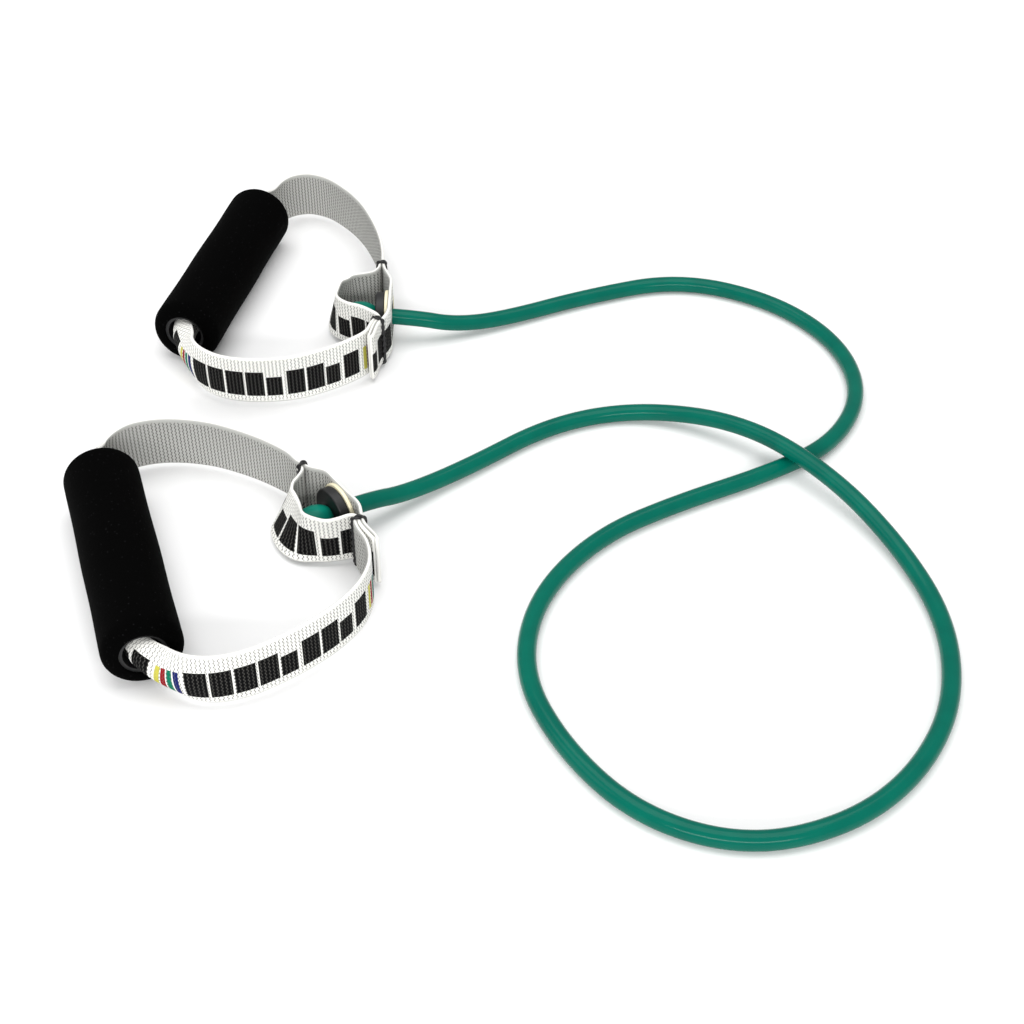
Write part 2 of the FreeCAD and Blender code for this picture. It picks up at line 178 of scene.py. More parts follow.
@dataclass(frozen=True)
class Foam:
    """Closed-cell NBR foam: dead matt black, with a skin of fine burst cells and a few pale specks."""

    name: str = "closed_cell_nbr_foam"
    black: str = "020202"
    speck: str = "2A2A2C"
    cell_mm: float = 0.7

    def make(self) -> bpy.types.Material:
        """Build the material: cells from noise and scattered specks."""
        material, tree = fresh_material(self.name)
        place = put(tree, "ShaderNodeTexCoord")
        cells = put(
            tree, "ShaderNodeTexNoise",
            {"Vector": place.outputs["Object"], "Scale": 1000 / self.cell_mm / 2, "Detail": 3.0},
        )
        spots = put(tree, "ShaderNodeTexVoronoi", {"Vector": place.outputs["Object"], "Scale": 420.0})
        lit = put(
            tree, "ShaderNodeMapRange",
            {
                "Value": spots.outputs["Distance"], "From Min": 0.0, "From Max": 0.16,
                "To Min": 0.55, "To Max": 0.0,
            },
        )
        mixed = put(
            tree, "ShaderNodeMix", {0: lit.outputs[0], 6: linear(self.black), 7: linear(self.speck)},
            data_type="RGBA",
        )
        bump = put(tree, "ShaderNodeBump", {"Height": cells.outputs[0], "Strength": 0.5, "Distance": 0.0002})
        close_material(tree, {
            "Base Color": mixed.outputs[2], "Roughness": 0.96, "Specular IOR Level": 0.03,
            "Normal": bump.outputs[0],
        })
        return material


@dataclass(frozen=True)
class Moulded:
    """A moulded rubber or plastic part: one colour, a faint mould grain and its own gloss."""

    name: str
    colour: str
    worn: str
    roughness: float
    grain_mm: float = 0.8

    def make(self) -> bpy.types.Material:
        """Build the material: mottled colour and a fine mould grain."""
        material, tree = fresh_material(self.name)
        place = put(tree, "ShaderNodeTexCoord")
        mottle = put(tree, "ShaderNodeTexNoise", {"Vector": place.outputs["Object"], "Scale": 160.0})
        mixed = put(
            tree, "ShaderNodeMix", {0: mottle.outputs[0], 6: linear(self.colour), 7: linear(self.worn)},
            data_type="RGBA",
        )
        grain = put(
            tree, "ShaderNodeTexNoise", {"Vector": place.outputs["Object"], "Scale": 1000 / self.grain_mm}
        )
        bump = put(tree, "ShaderNodeBump", {"Height": grain.outputs[0], "Strength": 0.3, "Distance": 0.00005})
        close_material(tree, {
            "Base Color": mixed.outputs[2], "Roughness": self.roughness, "Normal": bump.outputs[0],
        })
        return material


@dataclass(frozen=True)
class Thread:
    """Bonded polyester sewing thread: black, slightly shiny, with the lay of its plies."""

    name: str = "bonded_polyester_thread"
    colour: str = "0B0B0D"

    def make(self) -> bpy.types.Material:
        """Build the material: fine plies across the strand."""
        material, tree = fresh_material(self.name)
        place = put(tree, "ShaderNodeTexCoord")
        plies = put(
            tree, "ShaderNodeTexWave", {"Vector": place.outputs["Object"], "Scale": 260.0, "Distortion": 2.0},
            bands_direction="DIAGONAL",
        )
        bump = put(tree, "ShaderNodeBump", {"Height": plies.outputs[1], "Strength": 0.5, "Distance": 0.0001})
        close_material(tree, {"Base Color": linear(self.colour), "Roughness": 0.5, "Normal": bump.outputs[0]})
        return material


@dataclass(frozen=True)
class Webbing:
    """Woven polyester webbing: white ribs across its width, painted shade in the pinholes between them, a
    greyer inner face that is partly its weave and partly painted shade, and an inked motif.

    The motif is plain: a row of solid black blocks of two heights, then four coloured bars.
    """

    name: str = "woven_polyester_webbing"
    white: str = "F2F2EE"
    warm: str = "E6E5DF"
    # Greyer tone of the inner face: partly its weave, partly painted shade of the inside of the loop.
    inner: str = "B9B9B5"
    # Painted shade for the pinholes between the ribs.
    hole: str = "101013"
    ink: str = "050506"
    bars: tuple[str, ...] = ("17205E", "0B6E54", "8A141C", "BFB94E")
    width: float = 25.0
    rib: float = 1.75
    stitch: float = 1.9
    block: float = 9.6
    motif_length: float = 86.4
    repeat: float = 101.0
    motif_bottom: float = 4.0
    short_block_top: float = 14.5
    taller_by: float = 3.0
    bar_top: float = 17.0
    prick: str = "8C8B86"
    bar: float = 2.8

    def make(self) -> bpy.types.Material:
        """Build the material from the strip's own UV map, which holds distances along and round it."""
        material, tree = fresh_material(self.name)

        def sums(operation: str, first: object, second: object = 0.0, third: object = 0.0) -> object:
            """Work out one sum of the pattern and give its output."""
            values = {0: first, 1: second, 2: third}
            return put(tree, "ShaderNodeMath", values, operation=operation).outputs[0]

        def within(value: object, low: float, high: object) -> object:
            """One where a value lies between two limits, otherwise zero."""
            return sums("MULTIPLY", sums("GREATER_THAN", value, low), sums("LESS_THAN", value, high))

        strip = put(tree, "ShaderNodeUVMap", uv_map="Webbing")
        in_mm = put(tree, "ShaderNodeMapping", {"Vector": strip.outputs[0], "Scale": (1000.0, 1000.0, 1.0)})
        split = put(tree, "ShaderNodeSeparateXYZ", {0: in_mm.outputs[0]})
        u, round_strip = split.outputs[0], split.outputs[1]
        from_top = sums("ABSOLUTE", sums("SUBTRACT", round_strip, self.width + 0.8))

        # Ribs run across the webbing; pinholes sit between them, staggered from one rib to the next, and are
        # filled with painted shade.
        ribs = sums("DIVIDE", u, self.rib)
        odd = sums("MODULO", sums("ABSOLUTE", sums("FLOOR", ribs)), 2.0)
        stitches = sums("ADD", sums("DIVIDE", from_top, self.stitch), sums("MULTIPLY", odd, 0.5))
        across_rib = sums("ABSOLUTE", sums("SUBTRACT", sums("FRACT", ribs), 0.5))
        along_rib = sums("ABSOLUTE", sums("SUBTRACT", sums("FRACT", stitches), 0.5))
        groove = put(
            tree, "ShaderNodeMapRange", {"Value": across_rib, "From Min": 0.2, "From Max": 0.33},
            interpolation_type="SMOOTHSTEP",
        )
        gap = put(
            tree, "ShaderNodeMapRange", {"Value": along_rib, "From Min": 0.2, "From Max": 0.33},
            interpolation_type="SMOOTHSTEP",
        )
        woven = within(from_top, 1.9, self.width - 0.4)
        pinhole = sums("MULTIPLY", sums("MULTIPLY", groove.outputs[0], gap.outputs[0]), woven)
        # Mask of the inner face, which gets painted shade: a greyer tone and deeper pinholes.
        inside = sums("GREATER_THAN", round_strip, self.width + 0.8)

        # Inked blocks: one every few millimetres, of two heights and two widths, in a motif that repeats.
        u = sums("MULTIPLY", sums("FRACT", sums("DIVIDE", u, self.repeat)), self.repeat)
        columns = sums("DIVIDE", u, self.block)
        column = sums("FLOOR", columns)
        in_column = sums("FRACT", columns)
        dice = put(tree, "ShaderNodeTexWhiteNoise", {"W": column}, noise_dimensions="1D").outputs["Value"]
        taller = sums("MULTIPLY", sums("GREATER_THAN", dice, 0.5), self.taller_by)
        height = sums("ADD", self.short_block_top, taller)
        side_gap = sums("ADD", 0.04, sums("MULTIPLY", sums("LESS_THAN", dice, 0.3), 0.12))
        block = within(in_column, side_gap, 0.93)
        inked = sums("MULTIPLY", sums("MULTIPLY", within(round_strip, self.motif_bottom, height), block),
                     within(u, 0.0, self.motif_length))

        patches = put(tree, "ShaderNodeTexNoise", {"Vector": in_mm.outputs[0], "Scale": 0.08, "Detail": 2.0})
        colour = put(
            tree, "ShaderNodeMix", {0: patches.outputs[0], 6: linear(self.white), 7: linear(self.warm)},
            data_type="RGBA",
        ).outputs[2]
        # The inner face takes the greyer inner tone: partly its weave, partly painted shade.
        colour = put(
            tree, "ShaderNodeMix", {0: inside, 6: colour, 7: linear(self.inner)}, data_type="RGBA"
        ).outputs[2]
        # Painted shade in the pinholes, deeper on the inner face where the inside of the loop is shaded.
        shown = sums("MULTIPLY", pinhole, sums("ADD", 0.78, sums("MULTIPLY", inside, 0.17)))
        colour = put(
            tree, "ShaderNodeMix", {0: shown, 6: colour, 7: linear(self.hole)}, data_type="RGBA"
        ).outputs[2]
        colour = put(
            tree, "ShaderNodeMix", {0: inked, 6: colour, 7: linear(self.ink)},
            data_type="RGBA",
        ).outputs[2]
        start = self.motif_length + 1.5
        for number, shade in enumerate(self.bars):
            low = start + number * self.bar
            across_bar = within(u, low, low + self.bar * 0.78)
            shown = sums("MULTIPLY", across_bar, within(round_strip, self.motif_bottom, self.bar_top))
            colour = put(
                tree, "ShaderNodeMix", {0: shown, 6: colour, 7: linear(shade)}, data_type="RGBA"
            ).outputs[2]
            inked = sums("MAXIMUM", inked, shown)
        # White yarn shows as pin pricks through the ink.
        pricks = sums("MULTIPLY", sums("MULTIPLY", inked, pinhole), 0.22)
        colour = put(
            tree, "ShaderNodeMix", {0: pricks, 6: colour, 7: linear(self.prick)}, data_type="RGBA"
        ).outputs[2]

        fibre = put(tree, "ShaderNodeTexNoise", {"Vector": in_mm.outputs[0], "Scale": 3.0, "Detail": 2.0})
        relief = sums("SUBTRACT", sums("MULTIPLY", fibre.outputs[0], 0.3), pinhole)
        bump = put(tree, "ShaderNodeBump", {"Height": relief, "Strength": 0.5, "Distance": 0.0003})
        close_material(tree, {
            "Base Color": colour, "Roughness": 0.85, "Specular IOR Level": 0.08, "Normal": bump.outputs[0],
        })
        return material


# ---------------------------------------------------------------- meshes from grids
def grid_piece(name: str, points: np.ndarray, wrap_rows: bool, caps: bool = False,
               uv: np.ndarray | None = None) -> bpy.types.Object:
    """Make a mesh from a grid of points whose columns close on themselves.

    Corner (i, j) of the grid joins (i, j+1), (i+1, j+1) and (i+1, j), all counted round where they wrap.  The
    shell's volume is a third of the sum over faces of centre . area vector, and a negative one turns it over.

    Args:
        name: Name of the piece.
        points: Array of rows by columns by three, in millimetres.
        wrap_rows: True if the last row joins the first.
        caps: True to close the first and the last row with a face each.
        uv: Array of rows by columns+1 by two, in metres, or None.

    Returns:
        The object, linked to the scene.
    """
    rows, columns = points.shape[:2]
    i = np.arange(rows if wrap_rows else rows - 1)[:, None]
    j = np.arange(columns)[None, :]
    below, beside = (i + 1) % rows, (j + 1) % columns
    corners = [i * columns + j, i * columns + beside, below * columns + beside, below * columns + j]
    quads = np.stack(np.broadcast_arrays(*corners), axis=-1).reshape(-1, 4)
    flat = points.reshape(-1, 3) * MM
    a, b, c, d = (flat[quads[:, k]] for k in range(4))
    volume = np.einsum("ij,ij->", (a + b + c + d) / 4, np.cross(c - a, d - b)) / 6
    order = [0, 1, 2, 3] if volume > 0 else [3, 2, 1, 0]
    faces = quads[:, order].tolist()
    if caps:
        ends = [list(range(columns)), list(range((rows - 1) * columns, rows * columns))]
        ends[0 if volume > 0 else 1].reverse()
        faces += ends
    mesh = bpy.data.meshes.new(name)
    mesh.from_pydata(flat.tolist(), [], faces)
    if uv is not None:
        ii, jj = np.broadcast_arrays(i, j)
        places = np.stack([uv[ii, jj], uv[ii, jj + 1], uv[ii + 1, jj + 1], uv[ii + 1, jj]], axis=-2)
        places = places.reshape(-1, 4, 2)[:, order].reshape(-1, 2)
        if caps:
            places = np.vstack([places, np.tile(uv[0, 0], (columns, 1)), np.tile(uv[-1, 0], (columns, 1))])
        mesh.uv_layers.new(name="Webbing").data.foreach_set("uv", places.ravel())
    mesh.polygons.foreach_set("use_smooth", np.ones(len(mesh.polygons), dtype=bool))
    mesh.update()
    piece = bpy.data.objects.new(name, mesh)
    bpy.context.scene.collection.objects.link(piece)
    return piece


def turned_piece(name: str, profile: np.ndarray, start: np.ndarray, axis: np.ndarray,
                 steps: int = 96) -> bpy.types.Object:
    """Turn a closed profile about an axis: point = start + axis*h + radius*(side*cos + across*sin).

    Args:
        name: Name of the piece.
        profile: Closed loop of (radius, height along the axis) in millimetres, shape n by 2.
        start: Point on the axis where height is zero.
        axis: Unit vector of the axis, which is level.
        steps: Number of faces round the axis.

    Returns:
        The object, linked to the scene.
    """
    up = np.array([0.0, 0.0, 1.0])
    side = np.cross(up, axis)
    turn = np.linspace(0, 2 * math.pi, steps, endpoint=False)[:, None, None]
    radius, height = profile[None, :, 0, None], profile[None, :, 1, None]
    points = start + axis * height + radius * (side * np.cos(turn) + up * np.sin(turn))
    return grid_piece(name, points, wrap_rows=True)


def through(stations: np.ndarray, along: np.ndarray, step: float) -> np.ndarray:
    """Carry a smooth line through stations: cubic Hermite pieces whose slopes come from both neighbours.

    Args:
        stations: Array of n by k values.
        along: Distance of each station along the line, rising.
        step: Spacing of the samples, in the same unit.

    Returns:
        Array of samples by k.
    """
    slopes = np.gradient(stations, along, axis=0)
    samples = np.linspace(0, along[-1], max(int(along[-1] / step), 2))
    piece = np.clip(np.searchsorted(along, samples, side="right") - 1, 0, len(along) - 2)
    span = (along[piece + 1] - along[piece])[:, None]
    t = (samples[:, None] - along[piece][:, None]) / span
    first, second = stations[piece], stations[piece + 1]
    return (
        (2 * t**3 - 3 * t**2 + 1) * first + (t**3 - 2 * t**2 + t) * span * slopes[piece]
        + (3 * t**2 - 2 * t**3) * second + (t**3 - t**2) * span * slopes[piece + 1]
    )


def level(angle: float) -> np.ndarray:
    """Level unit vector at an angle in degrees from +X, as x and y."""
    return np.array([math.cos(math.radians(angle)), math.sin(math.radians(angle))])


def leftward(direction: np.ndarray) -> np.ndarray:
    """The level direction a quarter turn to the left of another."""
    return np.array([-direction[1], direction[0]])


# ---------------------------------------------------------------- webbing
@dataclass
class Strip:
    """A strip of webbing carried along stations, standing on edge and curling where they say so.

    A station is its top edge's x and y, its bottom edge's x and y, its curl in degrees, and the height of its
    bottom edge.  Across the strip, a point at distance v from its middle sits on an arc of angle curl*v/width
    and radius width/curl.
    """

    name: str
    stations: list[Row]
    motif_start: float
    motif_backwards: bool = False
    width: float = 25.0
    thickness: float = 1.6
    step: float = 0.9
    columns: int = 30
    edge_columns: int = 5

    def section(self) -> np.ndarray:
        """The strip's own outline: distance from its middle and height off its middle layer, n by 2."""
        half, rim = self.width / 2, self.thickness / 2
        face = np.linspace(-half + rim, half - rim, self.columns)
        bend = np.linspace(math.pi / 2, -math.pi / 2, self.edge_columns + 2)[1:-1]
        top = np.stack([half - rim + rim * np.cos(bend), rim * np.sin(bend)], axis=1)
        outer = np.stack([face, np.full_like(face, rim)], axis=1)
        inner = np.stack([face[::-1], np.full_like(face, -rim)], axis=1)
        bottom = -top
        return np.vstack([outer, top, inner, bottom])

    def make(self, place: "HandleLayout") -> bpy.types.Object:
        """Build the strip's mesh.

        Args:
            place: Layout of the handle that the stations belong to.

        Returns:
            The object, with its distances along and round it in its UV map.
        """
        table = np.array(self.stations, dtype=float)
        middle = (table[:, 0:2] + table[:, 2:4]) / 2
        along = np.concatenate([[0.0], np.cumsum(np.linalg.norm(np.diff(middle, axis=0), axis=1))])
        line = through(table, along, self.step)
        kernel = np.exp(-0.5 * (np.arange(-4, 5) / 1.6) ** 2)
        kernel /= kernel.sum()
        padded = np.pad(line, ((4, 4), (0, 0)), mode="edge")
        padded[:4] = 2 * line[0] - line[4:0:-1]
        padded[-4:] = 2 * line[-1] - line[-2:-6:-1]
        line = np.stack([np.convolve(column, kernel, mode="valid") for column in padded.T], axis=1)

        top, bottom = place.to_band(line[:, 0:2]), place.to_band(line[:, 2:4])
        lean = np.linalg.norm(top - bottom, axis=1)
        rise = np.sqrt(np.maximum(self.width**2 - lean**2, 1.0))
        centre = np.column_stack([(top + bottom) / 2, line[:, 5] + rise / 2])
        across = np.column_stack([top - bottom, rise]) / self.width
        tangent = np.gradient(centre, axis=0)
        tangent /= np.linalg.norm(tangent, axis=1, keepdims=True)
        across -= tangent * np.sum(across * tangent, axis=1, keepdims=True)
        across /= np.linalg.norm(across, axis=1, keepdims=True)
        outward = np.cross(across, tangent)

        outline = self.section()
        curl = np.radians(np.maximum(line[:, 4], 0.3))[:, None]
        radius = self.width / curl
        angle = outline[None, :, 0] / radius
        reach = radius + outline[None, :, 1]
        points = (
            centre[:, None, :]
            + across[:, None, :] * (reach * np.sin(angle))[..., None]
            - outward[:, None, :] * (radius - reach * np.cos(angle))[..., None]
        )

        gone = np.concatenate([[0.0], np.cumsum(np.linalg.norm(np.diff(centre, axis=0), axis=1))])
        u = (gone[-1] - gone if self.motif_backwards else gone) - self.motif_start
        loop = np.vstack([outline, outline[:1]])
        v = np.concatenate([[0.0], np.cumsum(np.linalg.norm(np.diff(loop, axis=0), axis=1))])
        v = v + self.thickness / 2
        uv = np.stack(np.broadcast_arrays(u[:, None], v[None, :]), axis=-1) * MM
        return grid_piece(self.name, points, wrap_rows=False, caps=True, uv=uv)


@dataclass
class Seam:
    """Two twisted strands of thread looped round a stack of webbing layers."""

    name: str
    at: Row
    layers: tuple[int, ...]
    width: float = 25.0
    base: float = 2.5
    pitch: float = 1.65
    strand: float = 0.6
    twist_length: float = 6.5
    twist_reach: float = 0.7

    def make(self, place: "HandleLayout") -> bpy.types.Object:
        """Build both strands as one mesh.

        The path is two straight sides joined by half circles; each strand turns about it like
        path + side*reach*cos(turns) + outward*reach*sin(turns)/2, half a turn from the other.

        Args:
            place: Layout of the handle that the seam belongs to.

        Returns:
            The object.
        """
        half_stack = len(self.layers) * self.pitch / 2 + self.strand * 0.55
        half_height = self.width / 2 + self.strand - half_stack * 0.55
        straight, cap = 2 * half_height, math.pi * half_stack * 0.85
        total = 2 * (straight + cap)
        count = 180
        s = np.linspace(0, total, count, endpoint=False)
        knots = np.array([0, straight, straight + cap, 2 * straight + cap, total])
        turn = np.interp(s, knots, [0, 0, math.pi, math.pi, 2 * math.pi])
        rise = np.interp(s, knots, [-half_height, half_height, half_height, -half_height, -half_height])
        flat = np.stack([half_stack * np.cos(turn), rise + half_stack * 0.55 * np.sin(turn)], axis=1)
        ahead = np.roll(flat, -1, axis=0) - np.roll(flat, 1, axis=0)
        ahead /= np.linalg.norm(ahead, axis=1, keepdims=True)
        outward = np.stack([ahead[:, 1], -ahead[:, 0]], axis=1)

        x, y, angle = self.at
        direction = level(angle + place.place[2])
        left = leftward(direction)
        centre = place.to_band(np.array([[x, y]]))[0]
        centre = centre + left * self.pitch * sum(self.layers) / len(self.layers)
        middle = np.array([centre[0], centre[1], self.base + self.width / 2])
        basis = np.array([[left[0], left[1], 0.0], [0.0, 0.0, 1.0]])
        side = np.array([direction[0], direction[1], 0.0])
        turns = 2 * math.pi * s / total * round(total / self.twist_length)
        ring = np.linspace(0, 2 * math.pi, 8, endpoint=False)
        strands = []
        for phase in (0.0, math.pi):
            sway = self.twist_reach * np.cos(turns + phase)
            swell = self.strand * 0.5 * np.sin(turns + phase)
            core = middle + flat @ basis + side * sway[:, None] + (outward @ basis) * swell[:, None]
            round_about = (outward @ basis)[:, None, :] * np.cos(ring)[None, :, None]
            round_about = round_about + side * np.sin(ring)[None, :, None]
            strands.append(core[:, None, :] + self.strand * round_about)
        made = [grid_piece(f"{self.name}_{n}", grid, wrap_rows=True) for n, grid in enumerate(strands)]
        return joined(self.name, made)


def joined(name: str, parts: list[bpy.types.Object]) -> bpy.types.Object:
    """Join several mesh objects into one.

    Args:
        name: Name of the joined piece.
        parts: Objects to join; they are used up.

    Returns:
        The joined object.
    """
    corners, faces, count = [], [], 0
    for part in parts:
        places = np.empty(len(part.data.vertices) * 3)
        part.data.vertices.foreach_get("co", places)
        corners.append(places.reshape(-1, 3))
        faces += [[count + index for index in face.vertices] for face in part.data.polygons]
        count += len(part.data.vertices)
        old = part.data
        bpy.data.objects.remove(part)
        bpy.data.meshes.remove(old)
    mesh = bpy.data.meshes.new(name)
    mesh.from_pydata(np.vstack(corners).tolist(), [], faces)
    mesh.polygons.foreach_set("use_smooth", np.ones(len(mesh.polygons), dtype=bool))
    mesh.update()
    piece = bpy.data.objects.new(name, mesh)
    bpy.context.scene.collection.objects.link(piece)
    return piece


# ---------------------------------------------------------------- how each handle lies
@dataclass
class HandleLayout:
    """Where one handle lies and the shape its webbing takes.

    x runs from the grip towards the tube and y along the grip, both from the grip's middle, in millimetres.
    """

    side: Side
    place: Row
    eye: Row
    first_seam: Row
    second_seam: Row
    flap_heading: float
    front_run: list[Row]
    back_run: list[Row]
    pocket: list[Row]
    motif_start: float = 18.0
    pocket_motif_start: float = 8.0
    pitch: float = 1.65
    lift: float = 2.5
    core_middle: float = 16.5
    core_curl: float = 202.0
    core_shift: float = -7.1
    mouth_shift: float = 2.4
    mouth_extra_curl: float = 40.0

    def to_band(self, points: np.ndarray) -> np.ndarray:
        """Take level points of the handle's own frame, n by 2, to the band's frame."""
        x, y, angle = self.place
        ahead = level(angle)
        return np.array([x, y]) + points[:, :1] * ahead + points[:, 1:2] * leftward(ahead)

    def seam_point(self, seam: Row, layer: float, reach: float) -> Row:
        """A station on one layer's line through a seam.

        Args:
            seam: The seam's x, y and heading.
            layer: Number of the layer, counted to the left of the heading.
            reach: Distance past the stitching.

        Returns:
            The station, flat and on edge.
        """
        direction = level(seam[2])
        x, y = np.array(seam[:2]) + leftward(direction) * layer * self.pitch + direction * reach
        return x, y, x, y, 0.0, self.lift

    def flap_point(self, layer: float, reach: float) -> Row:
        """A station on one layer of the flap, at a distance beyond the second seam."""
        start = np.array(self.seam_point(self.second_seam, 0, 3.0)[:2])
        direction = level(self.flap_heading)
        x, y = start + leftward(direction) * layer * self.pitch + direction * reach
        return x, y, x, y, 0.0, self.lift

    def strap_stations(self) -> list[Row]:
        """Stations of the loop: from the second seam through the grip, past the first seam, over the eye."""
        first, second = self.first_seam, self.second_seam
        low = self.core_middle - 12.5
        shift, curl = self.core_shift, self.core_curl
        front = [(x, y, x, y, c, self.lift) for x, y, c in self.front_run]
        back = [(x, y, x, y, c, self.lift) for x, y, c in self.back_run]
        core = [(shift, y, shift, y, curl, low) for y in (-60, -40, -20, 0, 20, 40, 60)]
        mouth = shift + self.mouth_shift
        core[0] = (mouth, -60, mouth, -60, curl + self.mouth_extra_curl, low)
        core = [(-1.2, -66.5, -1.2, -66.5, 212.0, low), *core, (-4.6, 67.0, -4.6, 67.0, 140.0, low)]
        x, y, angle = self.eye
        aside = leftward(level(angle))
        flat = [np.array([x, y]) + aside * reach for reach in (13.0, 7.0, 0.0, -7.0, -13.0)]
        stations = [self.seam_point(second, -1, reach) for reach in (-1.1, 0.8, 2.6)]
        stations += [*front, *core, *back]
        stations += [self.seam_point(first, 0, reach) for reach in (-2.6, 0.0, 2.6)]
        stations += [(p[0], p[1], p[0], p[1], 0.0, self.lift) for p in flat]
        stations += [self.seam_point(second, 1, reach) for reach in (-2.6, 0.0, 2.2)]
        stations += [self.flap_point(1.0, reach) for reach in (3.5, 7.0, 11.0)]
        return stations + [self.flap_point(0.55, 12.4)]

    def pocket_stations(self) -> list[Row]:
        """Stations of the pocket strip: from the flap, through the second seam, to just past the first."""
        stations = [self.flap_point(0.0, reach) for reach in (11.6, 7.0, 3.0)]
        stations += [self.seam_point(self.second_seam, 0, reach) for reach in (1.4, 0.0, -2.2)]
        stations += [(*row, 0.0, self.lift) for row in self.pocket]
        return stations + [self.seam_point(self.first_seam, -1, reach) for reach in (1.4, 0.0, -1.6)]


LAYOUTS: dict[Side, HandleLayout] = {
    Side.NEAR: HandleLayout(
        side=Side.NEAR, motif_start=38.0, place=(-37.5, -117.0, 18.4), eye=(96.0, 4.4, 17.4),
        first_seam=(83.8, 24.6, -55.0), second_seam=(97.3, -18.4, -95.0), flap_heading=-74.0,
        front_run=[
            (97.0, -33.0, 0), (95.3, -44.0, 0), (88.0, -56.0, 0), (78.0, -64.5, 0), (64.8, -71.8, 0),
            (49.2, -77.5, 0), (34.0, -80.8, 6), (22.4, -80.6, 26), (12.6, -77.4, 66), (5.0, -72.2, 134),
        ],
        back_run=[
            (0.6, 71.6, 100), (7.4, 75.4, 55), (15.5, 77.8, 22), (25.5, 77.6, 8), (37.5, 74.0, 0),
            (50.0, 67.2, 0), (61.8, 57.0, 0), (72.8, 44.5, 0), (79.6, 34.0, 0),
        ],
        pocket=[
            (95.4, -14.6, 94.8, -14.4), (91.0, -15.2, 88.6, -14.0), (86.4, -15.6, 82.6, -12.2),
            (82.0, -13.0, 77.2, -9.4), (79.2, -8.6, 70.4, -4.6), (77.8, -2.4, 66.2, 2.0),
            (77.0, 6.0, 64.8, 9.0), (76.6, 12.6, 66.2, 15.8), (79.0, 16.4, 71.6, 21.2),
            (82.8, 19.2, 78.8, 22.8),
        ],
    ),
    Side.FAR: HandleLayout(
        side=Side.FAR, place=(-22.8, 105.8, -12.0), eye=(93.4, -19.8, 12.2),
        first_seam=(82.6, 7.5, -68.0), second_seam=(93.3, -42.1, -105.0), flap_heading=-88.0,
        front_run=[
            (90.6, -51.6, 0), (84.4, -61.7, 0), (76.0, -70.6, 0), (65.3, -79.2, 0), (54.1, -84.2, 0),
            (40.4, -87.3, 0), (25.9, -86.6, 8), (13.4, -81.4, 44), (5.0, -74.4, 118),
        ],
        back_run=[
            (0.4, 72.4, 100), (5.0, 79.4, 55), (10.0, 84.0, 24), (17.2, 87.0, 8), (28.0, 85.2, 0),
            (41.0, 76.9, 0), (54.3, 63.9, 0), (65.2, 48.2, 0), (74.9, 29.9, 0), (80.0, 16.0, 0),
        ],
        pocket=[
            (92.2, -37.8, 91.4, -37.8), (87.8, -34.8, 85.4, -34.4), (82.0, -32.2, 78.4, -31.0),
            (75.4, -30.8, 71.0, -28.4), (69.8, -27.2, 64.0, -23.2), (66.8, -18.6, 59.8, -14.2),
            (66.8, -10.0, 60.0, -5.0), (70.8, -5.6, 64.2, -0.6), (76.6, -2.8, 72.4, 1.0),
            (80.8, 0.4, 79.2, 3.2),
        ],
    ),
}


